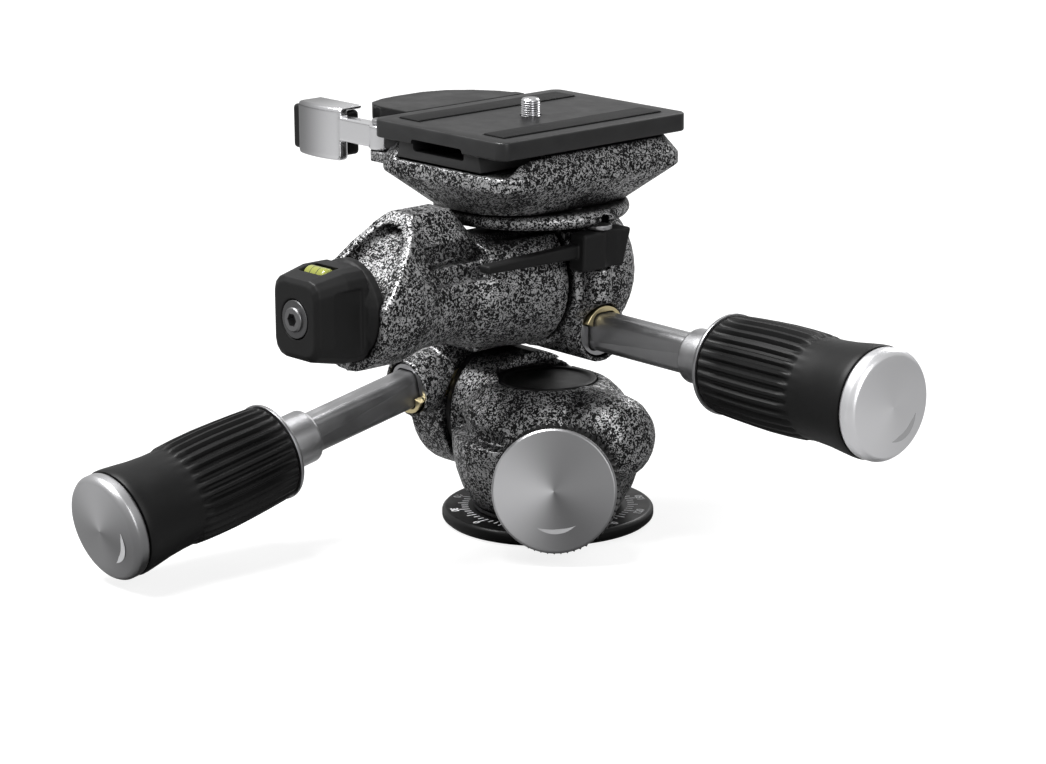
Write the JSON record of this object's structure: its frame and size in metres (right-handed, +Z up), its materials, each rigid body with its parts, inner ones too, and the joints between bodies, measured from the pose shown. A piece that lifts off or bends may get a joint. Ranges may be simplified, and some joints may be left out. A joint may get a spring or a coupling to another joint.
{
  "type": "three way pan tilt head",
  "caption": "Tripod head that pans on a disc base, tilts and rolls on two handles, and holds a camera on a dovetail plate with a lever clamp.",
  "frame": {"origin": "on the pan axis in the plane of the base's underside, where the tripod's screw enters", "axes": "+Z up along the pan axis, +X along the tilt axis towards the roll handle, -Y towards the operator and the tilt handle"},
  "size_m": [0.1977, 0.1644, 0.1213],
  "materials": {
    "hammertone": "cast, with dark hammertone enamel",
    "black_paint": "satin black anodised",
    "black_plastic": "moulded, satin",
    "rubber": "moulded, matte",
    "steel": "machined",
    "turned_metal": "turned and polished",
    "rod_metal": "grey anodised, satin",
    "brass": "machined",
    "friction_polymer": "smooth",
    "vial": "clear, yellow-green"
  },
  "bodies": {
    "base": {"base_plate": "black_paint", "tripod_thread_insert": "steel"},
    "pan_body": {"pan_housing": "hammertone", "pan_friction_ring": "friction_polymer", "pan_top_cap": "black_plastic", "tilt_shaft_screw": "steel", "pan_guide_screw_1": "steel", "pan_guide_screw_2": "steel", "pan_clamp_shoe": "brass", "tilt_shaft": "steel", "tilt_shaft_nut": "steel"},
    "pan_knob": {"pan_lock_screw": "steel", "pan_knob_grip": "rubber", "pan_knob_cap": "turned_metal"},
    "tilt_body": {"tilt_yoke": "hammertone", "tilt_friction_disc": "friction_polymer", "tilt_side_cover": "black_plastic", "tilt_handle_rod": "rod_metal", "tilt_socket_collar": "steel", "tilt_socket_key": "brass", "tilt_handle_sleeve": "turned_metal", "tilt_clamp_cotter": "brass", "roll_sleeve": "steel", "roll_friction_disc": "friction_polymer"},
    "tilt_grip": {"tilt_draw_rod": "steel", "tilt_grip_core": "rod_metal", "tilt_grip_ring": "turned_metal", "tilt_grip_rubber": "rubber", "tilt_grip_cap": "turned_metal"},
    "roll_body": {"roll_bracket": "hammertone", "roll_shaft": "steel", "roll_shaft_nut": "steel", "roll_rear_cover": "black_plastic", "platform_screw_1": "steel", "platform_screw_2": "steel", "roll_handle_rod": "rod_metal", "roll_socket_collar": "steel", "roll_socket_key": "brass", "roll_handle_sleeve": "turned_metal", "roll_clamp_cotter": "brass", "level_housing": "black_paint", "level_vial": "vial", "level_washer": "steel", "level_screw": "steel", "clamp_platform": "hammertone", "clamp_jaw": "black_paint", "clamp_pivot": "steel"},
    "roll_grip": {"roll_draw_rod": "steel", "roll_grip_core": "rod_metal", "roll_grip_ring": "turned_metal", "roll_grip_rubber": "rubber", "roll_grip_cap": "turned_metal"},
    "drag_lever": {"drag_lever": "black_paint", "drag_lever_screw": "turned_metal"},
    "clamp_lever": {"clamp_lever": "turned_metal", "clamp_lever_pad": "black_plastic"},
    "plate": {"camera_plate": "black_paint", "plate_strip_1": "rubber", "plate_strip_2": "rubber"},
    "camera_screw": {"camera_screw": "steel"}
  },
  "joints": [
    {"name": "pan", "type": "hinge", "parent": "base", "child": "pan_body", "pos_m": [0, 0, 0], "axis": [0, 0, 1], "continuous": true},
    {"name": "pan_knob_turn", "type": "hinge", "parent": "pan_body", "child": "pan_knob", "pos_m": [0.03538, -0.02991, 0.021], "axis": [0.6733, -0.7227, 0.1564], "range_deg": [-270, 90]},
    {"name": "tilt", "type": "hinge", "parent": "pan_body", "child": "tilt_body", "pos_m": [0, 0, 0.029], "axis": [1, 0, 0], "range_deg": [-70, 30]},
    {"name": "tilt_grip_turn", "type": "hinge", "parent": "tilt_body", "child": "tilt_grip", "pos_m": [-0.0305, -0.026, 0.0367], "axis": [0, -0.9826, -0.1859], "range_deg": [-270, 90]},
    {"name": "roll", "type": "hinge", "parent": "tilt_body", "child": "roll_body", "pos_m": [0, 0, 0.0725], "axis": [0, 1, 0], "range_deg": [-70, 6]},
    {"name": "roll_grip_turn", "type": "hinge", "parent": "roll_body", "child": "roll_grip", "pos_m": [0.0183, 0.004, 0.0571], "axis": [0.9999, 0, -0.01], "range_deg": [-270, 90]},
    {"name": "drag_lever_turn", "type": "hinge", "parent": "roll_body", "child": "drag_lever", "pos_m": [0.025, -0.003, 0.089], "axis": [0, 0, 1], "range_deg": [0, 20]},
    {"name": "clamp_lever_turn", "type": "hinge", "parent": "roll_body", "child": "clamp_lever", "pos_m": [-0.0324, -0.0316, 0.1096], "axis": [0, 0, 1], "range_deg": [-10, 85]},
    {"name": "plate_slide", "type": "slide", "parent": "roll_body", "child": "plate", "axis": [0, -1, 0], "range_m": [0, 0.075]},
    {"name": "camera_screw_turn", "type": "hinge", "parent": "plate", "child": "camera_screw", "pos_m": [0, -0.0056, 0.1165], "axis": [0, 0, 1], "continuous": true}
  ]
}
